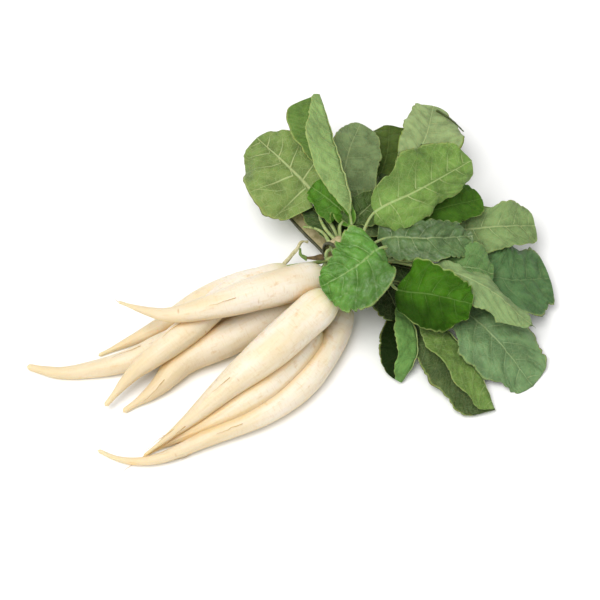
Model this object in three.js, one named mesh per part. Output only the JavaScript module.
// A bunch of white icicle radishes as it lies on a table: eight tapered roots in a loose pile, the
// stalks of their leaves gathered by one flat tie above the crowns, and the leaf blades fanned out
// behind it. Millimetres, +Z up; the bunch is set down on z = 0 with its origin under its middle.
import * as THREE from "three";

const GAP = 0.4; // air left between pieces that touch

// Roots
const ROOT_SIDES = 10;
const ROOT_RINGS = 20;
const SHOULDER = 0.1; // share of a root's length over which the crown rounds in
const NECK = 0.45; // radius of the flat top that the leaves stand on, as a share of the belly's

// Leaves
const LEAF_SIDES = 12; // points round a stalk, and round a blade's two faces
const STALK_RINGS = 6;
const BLADE_RINGS = 12;
const STALK_RADIUS = 1.5;
const BLADE_THICKNESS = 1.0;
const BLADE_ROOT = 0.12; // share of a blade over which its section turns from round to flat
const STEM_RUN = 3; // how far a stalk keeps straight on from its crown

// Tie
const TIE_CENTRE = [27, 21, 30];
const TIE_HEADING = 38; // degrees from +X that the gathered stalks run in
const TIE_RADIUS = 14; // where its wrap starts, measured to the middle of the strip
const TIE_PITCH = 2.8; // how much further out each turn of the wrap lies
const TIE_TURNS = 1.12;
const TIE_WIDTH = 8.4;
const TIE_THICKNESS = 0.8;
const TIE_BEAD = 1.2; // radius of the wire edge along the side facing the crowns
const TIE_TAIL = [[18, 40, 14], [6, 53, 17], [-6, 66, 21]];
const TIE_STEPS = 24; // points in each turn of its path
const TIE_RINGS = 38;

// Scraps
const SCRAP_SIDES = 8;
const SCRAP_RINGS = 8;

const CURVE_STEPS = 400; // how finely a stalk's length is measured

// Each root's path runs from the middle of its crown to the tip of its tail; belly is the share of
// its length at which it starts to taper, and girth and tail are radii.
const ROOTS = {
  root_top: {
    girth: 10.8, tail: 1.0, belly: 0.22,
    path: [
      [13, 11, 29], [-5, 2, 35], [-26, -8, 40], [-48, -17, 42], [-75, -22, 39], [-92, -15, 33],
      [-108, -5, 26],
    ],
  },
  root_back: {
    girth: 8.2, tail: 1.0, belly: 0.3,
    path: [[-17, 22, 9], [-38, 16, 9], [-62, 4, 8], [-85, -10, 5], [-105, -20, 3], [-121, -28, 2]],
  },
  root_far_left: {
    girth: 7.4, tail: 2.2, belly: 0.42,
    path: [
      [-28, 3, 8], [-51, -8, 8], [-78, -22, 8], [-101, -34, 7], [-122, -39, 5], [-143, -41, 4],
      [-163, -36, 3],
    ],
  },
  root_left: {
    girth: 8.5, tail: 1.6, belly: 0.48,
    path: [[-7, 18, 23], [-40, 2, 26], [-64, -23, 26], [-84, -38, 21], [-98, -48, 15], [-114, -65, 7]],
  },
  root_middle: {
    girth: 9.2, tail: 1.3, belly: 0.48,
    path: [[10, 13, 12], [-24, -11, 13], [-48, -25, 12], [-68, -35, 10], [-85, -53, 6], [-104, -66, 2]],
  },
  root_broad: {
    girth: 11.6, tail: 0.9, belly: 0.25,
    path: [[18, -9, 38], [3, -22, 34], [-17, -41, 31], [-40, -59, 24], [-63, -77, 14], [-90, -96, 4]],
  },
  root_under: {
    girth: 8.8, tail: 0.9, belly: 0.35,
    path: [[4, -11, 9], [-8, -29.5, 9], [-23, -47, 9], [-39, -60.5, 8], [-61, -76, 5], [-89, -94, 2.5]],
  },
  root_front: {
    girth: 8.7, tail: 1.3, belly: 0.28,
    path: [
      [27, 1, 9], [18, -23, 9.3], [2, -50, 9.3], [-22, -70, 9], [-52, -84, 7.5], [-83, -98, 5],
      [-101, -98, 3], [-117, -91, 1.8],
    ],
  },
};

const GREENS = {
  light: 0x7b9b56,
  bright: 0x4f8036,
  olive: 0x6f8a4e,
  grey: 0x66845a,
  blue: 0x4b7048,
  dark: 0x35592b,
};

// Each leaf springs from its foot on a root's crown, runs through its slot in the tie (both given
// across and up from the middle) and along its stalk to the blade's base, middle and tip. up is
// the way the blade's upper face looks, half its greatest width left and right of the midrib, and
// rise and fall shape its outline. lift is how far each half, left and right, is turned up where
// it leaves the midrib, and curl how much further it turns on its way to the edge, in degrees.
const LEAVES = {
  leaf_front: {
    root: "root_top", foot: [3.5, -1], slot: [-0.5, 2.5], green: "bright",
    stalk: [[40, 28, 43], [48, 25, 54]],
    blade: [[42, 25, 60], [33, -2, 64], [13, -10, 52]],
    up: [0, -0.4, 0.9], half: [24, 17], rise: 0.35, fall: 0.4, lift: [0, 0], curl: [-15, -15],
  },
  leaf_tall: {
    root: "root_top", foot: [0.5, 3.5], slot: [-2, 10], green: "light",
    stalk: [[31, 32, 46]],
    blade: [[30, 43, 50], [23, 72, 60], [12, 121, 66]],
    up: [-1, 0, 0.1], half: [27, 15], rise: 1, fall: 0.28, lift: [70, 65], curl: [0, 0],
  },
  leaf_cup: {
    root: "root_top", foot: [-3, 2], slot: [9.6, 4.8], green: "bright",
    stalk: [[23, 38, 39]],
    blade: [[27, 46, 42], [18, 55, 46], [7, 65, 46]],
    up: [-0.2, -0.5, 0.8], half: [9, 9], rise: 0.4, fall: 0.4, lift: [15, 15], curl: [25, 25],
  },
  leaf_upper_left: {
    root: "root_top", foot: [-2, -3], slot: [9.4, -3.4], green: "olive",
    stalk: [[19, 42, 38]],
    blade: [[8, 65, 40], [-8, 83, 44], [-27, 112, 34]],
    up: [-0.1, -0.3, 0.9], half: [28, 20], rise: 0.35, fall: 0.4, lift: [5, 5], curl: [-15, -15],
  },
  leaf_upright: {
    root: "root_left", foot: [0.5, 3.5], slot: [2, 9.2], green: "grey",
    stalk: [[35, 43, 37]],
    blade: [[26, 62, 40], [30, 91, 46], [38, 117, 42]],
    up: [0.1, -0.4, 0.9], half: [12, 20], rise: 0.5, fall: 0.4, lift: [5, 5], curl: [-10, -10],
  },
  leaf_back: {
    root: "root_back", foot: [2.2, 2.6], slot: [7.7, -7.4], green: "olive",
    stalk: [[34, 54, 27]],
    blade: [[48, 83, 24], [55, 105, 26], [58, 134, 19]],
    up: [0, -0.2, 1], half: [12, 13], rise: 0.5, fall: 0.4, lift: [5, 5], curl: [-10, -10],
  },
  leaf_upper_right: {
    root: "root_back", foot: [-2.6, -2.2], slot: [4.5, -9.3], green: "grey",
    stalk: [[45, 50, 24]],
    blade: [[65, 85, 30], [78, 107, 38], [86, 141, 30]],
    up: [0, -0.3, 1], half: [16, 18], rise: 0.5, fall: 0.35, lift: [5, 5], curl: [-15, -15],
  },
  leaf_broad: {
    root: "root_broad", foot: [-2.5, 2.5], slot: [-6, 8.5], green: "light",
    stalk: [[38, 30, 50]],
    blade: [[44, 35, 61.5], [69, 45, 69.5], [103, 72, 63]],
    up: [0, -0.3, 1], half: [26, 18], rise: 0.35, fall: 0.4, lift: [0, -30], curl: [0, -15],
  },
  leaf_behind_broad: {
    root: "root_middle", foot: [-2, 0.5], slot: [1.5, -1.5], green: "dark",
    stalk: [[44, 37, 37]],
    blade: [[60, 42, 42], [84, 49, 46], [111, 62, 38]],
    up: [0, -0.2, 1], half: [14, 13], rise: 0.5, fall: 0.35, lift: [5, 5], curl: [-10, -10],
  },
  leaf_centre: {
    root: "root_broad", foot: [-3, -2], slot: [-4, 4], green: "blue",
    stalk: [[42, 25, 41]],
    blade: [[51, 26, 48], [74, 22, 54], [103, 29, 46]],
    up: [0, -0.3, 1], half: [12, 14], rise: 0.45, fall: 0.4, lift: [5, 0], curl: [-10, -10],
  },
  leaf_right: {
    root: "root_under", foot: [2.5, 2.5], slot: [-5.8, -3.4], green: "grey",
    stalk: [[59, 39, 25]],
    blade: [[99, 47, 26], [122, 47, 30], [145, 53, 22]],
    up: [0, -0.2, 1], half: [15, 14], rise: 0.9, fall: 0.3, lift: [10, 5], curl: [0, -10],
  },
  leaf_far_right: {
    root: "root_under", foot: [1, -3.5], slot: [1, -10.5], green: "blue",
    stalk: [[58, 31, 17]],
    blade: [[95, 24, 18], [124, 14, 22], [153, 22, 10]],
    up: [0, -0.1, 1], half: [27, 24], rise: 0.5, fall: 0.32, lift: [5, 5], curl: [-10, -10],
  },
  leaf_inner_right: {
    root: "root_middle", foot: [1.5, 3.5], slot: [-3, -0.5], green: "grey",
    stalk: [[51, 23, 33]],
    blade: [[83, 18, 34], [100, 17, 38], [115, 16, 32]],
    up: [0, -0.1, 1], half: [13, 10], rise: 0.5, fall: 0.35, lift: [5, 5], curl: [-10, -10],
  },
  leaf_long: {
    root: "root_broad", foot: [3, 1.5], slot: [-8.6, 4.6], green: "light",
    stalk: [[57, 16, 40]],
    blade: [[78, 6, 48.5], [106, -7, 47], [134, -22, 29]],
    up: [0, 0, 1], half: [12, 12], rise: 0.4, fall: 0.3, lift: [-25, -30], curl: [0, 0],
  },
  leaf_bowl: {
    root: "root_broad", foot: [1.5, -3.5], slot: [-10, 0.6], green: "bright",
    stalk: [[48, 10, 33]],
    blade: [[57, -1, 34], [76, -7, 38], [100, -13, 37]],
    up: [0, -0.2, 1], half: [20, 22], rise: 0.35, fall: 0.35, lift: [5, -10], curl: [15, -30],
  },
  leaf_lower_right: {
    root: "root_front", foot: [2, 3], slot: [-9.5, -4], green: "blue",
    stalk: [[55, 12, 21]],
    blade: [[88, -4, 26], [114, -29, 26], [137, -53, 9]],
    up: [0, 0, 1], half: [22, 21], rise: 0.4, fall: 0.35, lift: [5, 0], curl: [-10, -10],
  },
  leaf_folded: {
    root: "root_front", foot: [-3.5, 0.5], slot: [0, -6.1], green: "dark",
    stalk: [[53, 16, 14]],
    blade: [[77, -8, 12], [99, -31, 11], [114, -65, 4]],
    up: [-0.85, -0.5, 0.2], half: [20, 29], rise: 0.5, fall: 0.35, lift: [75, 75], curl: [0, 0],
  },
  leaf_low_front: {
    root: "root_front", foot: [1, -1], slot: [-5, -7.5], green: "dark",
    stalk: [[46, 12.5, 13]],
    blade: [[62, -1, 14], [69, -31, 14], [60, -47, 3]],
    up: [-1, 0, 0.3], half: [15, 23], rise: 0.5, fall: 0.35, lift: [70, 70], curl: [0, 0],
  },
  leaf_inner: {
    root: "root_left", foot: [-3.5, 0.5], slot: [6, 0.7], green: "dark",
    stalk: [[28, 32, 40]],
    blade: [[32, 42, 42], [40, 49, 46], [48, 57, 46]],
    up: [0, -0.3, 1], half: [6, 6], rise: 0.5, fall: 0.5, lift: [10, 10], curl: [0, 0],
  },
};

// Dried scraps left on two crowns: a broken stalk and two withered leaflets. Each is a flattened
// rod, width and thickness being the radii at its start, which narrows to a share of them at its tip.
const SCRAPS = {
  dry_stub: {
    path: [[-15, 24, 12], [-8, 31, 16], [-1, 38, 20], [2, 42, 22], [5, 42, 20]],
    width: 1.5, thickness: 1.3, tip: 0.7,
  },
  withered_leaf_brown: {
    path: [[14, 18, 39], [9, 17, 40], [4, 17, 40]],
    width: 2.4, thickness: 0.5, tip: 0.4,
  },
  withered_leaf_green: {
    path: [[4, 17, 39], [1, 18, 41], [0, 22, 43]],
    width: 1.6, thickness: 0.5, tip: 0.5,
  },
};

const vec = (point) => new THREE.Vector3(...point);
const radians = THREE.MathUtils.degToRad;
const { clamp, lerp, smoothstep } = THREE.MathUtils;

// A closed skin of rings from pole to pole: place(ring, side) gives each point.
function skin(sides, rings, place) {
  const ball = new THREE.SphereGeometry(1, sides, rings);
  const points = ball.getAttribute("position");
  for (let ring = 0; ring <= rings; ring++) {
    for (let side = 0; side <= sides; side++) {
      const p = place(ring, side % sides);
      points.setXYZ(ring * (sides + 1) + side, p.x, p.y, p.z);
    }
  }
  ball.computeVertexNormals();
  return ball;
}

// Frames at shares of a curve: the one at keyRing takes its up from the given vector, and the
// others carry it along without twisting. side points right when looking along the curve.
function framesAlong(curve, shares, up, keyRing) {
  const frames = shares.map((share) => ({
    at: curve.getPointAt(share),
    along: curve.getTangentAt(share),
  }));
  const carry = (frame, from) => {
    frame.up = from.clone().addScaledVector(frame.along, -from.dot(frame.along)).normalize();
    frame.side = new THREE.Vector3().crossVectors(frame.along, frame.up);
  };
  carry(frames[keyRing], up);
  for (let i = keyRing + 1; i < frames.length; i++) carry(frames[i], frames[i - 1].up);
  for (let i = keyRing - 1; i >= 0; i--) carry(frames[i], frames[i + 1].up);
  return frames;
}

const inFrame = (frame, across, above) =>
  frame.at.clone().addScaledVector(frame.side, across).addScaledVector(frame.up, above);

function material(color, roughness) {
  return new THREE.MeshStandardMaterial({ color, roughness, metalness: 0, side: THREE.DoubleSide });
}

// Roots

function rootRadius({ girth, tail, belly }, share) {
  const rounding = clamp(share / SHOULDER, 0, 1);
  const shoulder = lerp(NECK, 1, Math.sqrt(1 - (1 - rounding) ** 2));
  return shoulder * lerp(girth, tail, smoothstep(share, belly, 1));
}

function makeRoot(name) {
  const root = ROOTS[name];
  const curve = new THREE.CatmullRomCurve3(root.path.map(vec), false, "centripetal");
  const shares = Array.from(
    { length: ROOT_RINGS + 1 },
    (_, ring) => (Math.max(ring - 1, 0) / (ROOT_RINGS - 1)) ** 1.3, // closer together near the crown
  );
  const frames = framesAlong(curve, shares, new THREE.Vector3(0, 0, 1), 0);
  const geometry = skin(ROOT_SIDES, ROOT_RINGS, (ring, side) => {
    if (ring === 0 || ring === ROOT_RINGS) return frames[ring].at;
    const turn = (2 * Math.PI * side) / ROOT_SIDES;
    const radius = rootRadius(root, shares[ring]);
    return inFrame(frames[ring], radius * Math.cos(turn), radius * Math.sin(turn));
  });
  const mesh = new THREE.Mesh(geometry, material(0xf1e4c6, 0.45));
  mesh.name = name;
  return mesh;
}

// Leaves

const tieAlong = new THREE.Vector3(Math.cos(radians(TIE_HEADING)), Math.sin(radians(TIE_HEADING)), 0);
const tieUp = new THREE.Vector3(0, 0, 1);
const tieAcross = new THREE.Vector3().crossVectors(tieUp, tieAlong);

const slotAt = ([across, above]) =>
  vec(TIE_CENTRE).addScaledVector(tieAcross, across).addScaledVector(tieUp, above);

// Where a leaf leaves its crown: foot is across and up from the crown's middle.
function stalkStart({ root, foot }) {
  const [crown, inside] = ROOTS[root].path.map(vec);
  const outward = crown.clone().sub(inside).normalize();
  const right = new THREE.Vector3().crossVectors(outward, tieUp).normalize();
  const up = new THREE.Vector3().crossVectors(right, outward);
  const start = crown.clone().addScaledVector(outward, GAP);
  start.addScaledVector(right, foot[0]).addScaledVector(up, foot[1]);
  return [start, start.clone().addScaledVector(outward, STEM_RUN)];
}

// Half-width of a blade as a share of its widest, from its base at 0 to its tip at 1.
function bladeOutline(share, { rise, fall }) {
  const broad = rise / (rise + fall);
  const widest = broad ** rise * (1 - broad) ** fall;
  return (share ** rise * (1 - share) ** fall) / widest;
}

// A point of a blade's section: u runs from 0 at the midrib to 1 at the edge.
function arc(width, lift, curl, u) {
  const from = radians(lift);
  const turn = radians(curl);
  if (Math.abs(turn) < 0.01) return [width * u * Math.cos(from), width * u * Math.sin(from), from];
  const to = from + turn * u;
  return [
    (width * (Math.sin(to) - Math.sin(from))) / turn,
    (width * (Math.cos(from) - Math.cos(to))) / turn,
    to,
  ];
}

function makeLeaf(name) {
  const leaf = LEAVES[name];
  const slot = slotAt(leaf.slot);
  const into = slot.clone().addScaledVector(tieAlong, -TIE_WIDTH / 2 - 2 * TIE_BEAD);
  const outOf = slot.clone().addScaledVector(tieAlong, TIE_WIDTH / 2);
  const points = [...stalkStart(leaf), into, outOf, ...leaf.stalk.map(vec), ...leaf.blade.map(vec)];
  const curve = new THREE.CatmullRomCurve3(points, false, "centripetal");
  curve.arcLengthDivisions = CURVE_STEPS;
  const lengths = curve.getLengths();
  const baseIndex = Math.round(((points.length - leaf.blade.length) / (points.length - 1)) * CURVE_STEPS);
  const baseShare = lengths[baseIndex] / lengths[CURVE_STEPS];
  const rings = STALK_RINGS + BLADE_RINGS;
  const bladeShare = (ring) => (ring <= STALK_RINGS ? 0 : 1 - ((rings - ring) / BLADE_RINGS) ** 1.4);
  const shares = Array.from({ length: rings + 1 }, (_, ring) =>
    ring <= STALK_RINGS ? (baseShare * ring) / STALK_RINGS : lerp(baseShare, 1, bladeShare(ring)),
  );
  const frames = framesAlong(curve, shares, vec(leaf.up), STALK_RINGS + BLADE_RINGS / 2);
  const quarter = LEAF_SIDES / 4;
  const geometry = skin(LEAF_SIDES, rings, (ring, side) => {
    const frame = frames[ring];
    if (ring === 0 || ring === rings) return frame.at;
    const turn = (2 * Math.PI * side) / LEAF_SIDES;
    const share = bladeShare(ring);
    const radius = STALK_RADIUS * lerp(1, 0.3, share);
    const round = [radius * Math.cos(turn), radius * Math.sin(turn)];
    if (share === 0) return inFrame(frame, ...round);
    const above = side <= 2 * quarter ? 1 : -1; // upper face, or lower face
    const u = above > 0 ? 1 - side / quarter : side / quarter - 3; // 1 at the right edge, -1 at the left
    const right = u >= 0 ? 1 : 0;
    const width = leaf.half[right] * bladeOutline(share, leaf);
    const [x, z, angle] = arc(width, leaf.lift[right], leaf.curl[right], Math.abs(u));
    const rib = u === 0 && above < 0 ? Math.max(radius, BLADE_THICKNESS / 2) : BLADE_THICKNESS / 2;
    const thick = Math.abs(u) === 1 ? 0 : above * rib;
    const outwards = right ? 1 : -1;
    const flat = [outwards * (x - thick * Math.sin(angle)), z + thick * Math.cos(angle)];
    const blend = smoothstep(share, 0, BLADE_ROOT);
    return inFrame(frame, lerp(round[0], flat[0], blend), lerp(round[1], flat[1], blend));
  });
  const mesh = new THREE.Mesh(geometry, material(GREENS[leaf.green], 0.6));
  mesh.name = name;
  return mesh;
}

// Tie: one strip wound round the stalks in a loose spiral, its tail running off below them.

function tiePath() {
  const points = [];
  const steps = Math.round(TIE_TURNS * TIE_STEPS);
  for (let i = 0; i <= steps; i++) {
    const turns = (TIE_TURNS * i) / steps;
    const angle = -Math.PI / 2 + 2 * Math.PI * (turns - TIE_TURNS); // ends under the stalks
    const radius = TIE_RADIUS + TIE_PITCH * turns;
    points.push(slotAt([radius * Math.cos(angle), radius * Math.sin(angle)]));
  }
  return [...points, ...TIE_TAIL.map(vec)];
}

// The strip's section: a flat band with a round bead on its right edge.
function tieSection() {
  const [edge, half] = [TIE_WIDTH / 2, TIE_THICKNESS / 2];
  const neck = Math.asin(half / TIE_BEAD);
  const bead = (turn) => [edge + TIE_BEAD * Math.cos(turn), TIE_BEAD * Math.sin(turn)];
  const turns = [neck - Math.PI, -2.1, -1.05, 0, 1.05, 2.1, Math.PI - neck];
  return [...turns.map(bead), [-edge, half], [-edge, -half]];
}

function makeTie() {
  const curve = new THREE.CatmullRomCurve3(tiePath(), false, "centripetal");
  const shares = Array.from({ length: TIE_RINGS + 1 }, (_, i) => i / TIE_RINGS);
  const outwards = curve.getPointAt(0).sub(vec(TIE_CENTRE));
  const frames = framesAlong(curve, shares, outwards, 0);
  const section = tieSection();
  const geometry = skin(section.length, TIE_RINGS + 2, (ring, side) => {
    const frame = frames[clamp(ring - 1, 0, TIE_RINGS)];
    if (ring === 0 || ring === TIE_RINGS + 2) return frame.at;
    return inFrame(frame, ...section[side]);
  });
  const mesh = new THREE.Mesh(geometry, material(0xb9a37c, 0.6));
  mesh.name = "tie";
  return mesh;
}

function makeScrap(name) {
  const { path, width, thickness, tip } = SCRAPS[name];
  const curve = new THREE.CatmullRomCurve3(path.map(vec), false, "centripetal");
  const shares = Array.from({ length: SCRAP_RINGS + 1 }, (_, i) => clamp((i - 1) / (SCRAP_RINGS - 2), 0, 1));
  const frames = framesAlong(curve, shares, tieUp, 0);
  const geometry = skin(SCRAP_SIDES, SCRAP_RINGS, (ring, side) => {
    if (ring === 0 || ring === SCRAP_RINGS) return frames[ring].at;
    const turn = (2 * Math.PI * side) / SCRAP_SIDES;
    const size = lerp(1, tip, shares[ring]);
    return inFrame(frames[ring], size * width * Math.cos(turn), size * thickness * Math.sin(turn));
  });
  const mesh = new THREE.Mesh(geometry, material(0x8f8a58, 0.8));
  mesh.name = name;
  return mesh;
}

const bunch = new THREE.Group();
for (const name of Object.keys(ROOTS)) bunch.add(makeRoot(name));
for (const name of Object.keys(LEAVES)) bunch.add(makeLeaf(name));
for (const name of Object.keys(SCRAPS)) bunch.add(makeScrap(name));
bunch.add(makeTie());

// Set down on z = 0, with the origin under the middle of its box.
const box = new THREE.Box3().setFromObject(bunch);
const middle = box.getCenter(new THREE.Vector3());
bunch.position.set(-middle.x, -middle.y, -box.min.z);

export default bunch;
